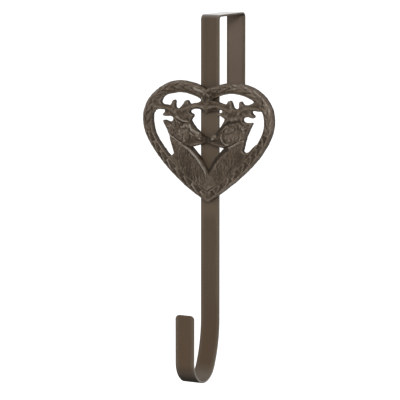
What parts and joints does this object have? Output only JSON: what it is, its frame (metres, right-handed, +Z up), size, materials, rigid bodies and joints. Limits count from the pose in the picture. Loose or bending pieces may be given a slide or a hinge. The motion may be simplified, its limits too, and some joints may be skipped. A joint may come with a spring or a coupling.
{
  "type": "wreath hanger",
  "caption": "Flat brown metal strap that hooks over a door's top and ends in a J hook for a wreath, with an openwork cast heart of facing stags and a leaf garland rim on its front.",
  "frame": {"origin": "middle of the bridge's underside, which rests on the door's top edge", "axes": "+Z up, the front faces -Y, X runs across the strap"},
  "size_m": [0.1415, 0.104, 0.3525],
  "materials": {
    "strap_paint": "satin-matt brown powder coat",
    "cast_heart": "rough cast, dark brown, rubbed lighter on the ridges",
    "screw_steel": "plain steel, slightly dulled"
  },
  "bodies": {
    "root": {"strap": "strap_paint", "heart_casting": "cast_heart", "back_screws": "screw_steel"}
  },
  "joints": []
}
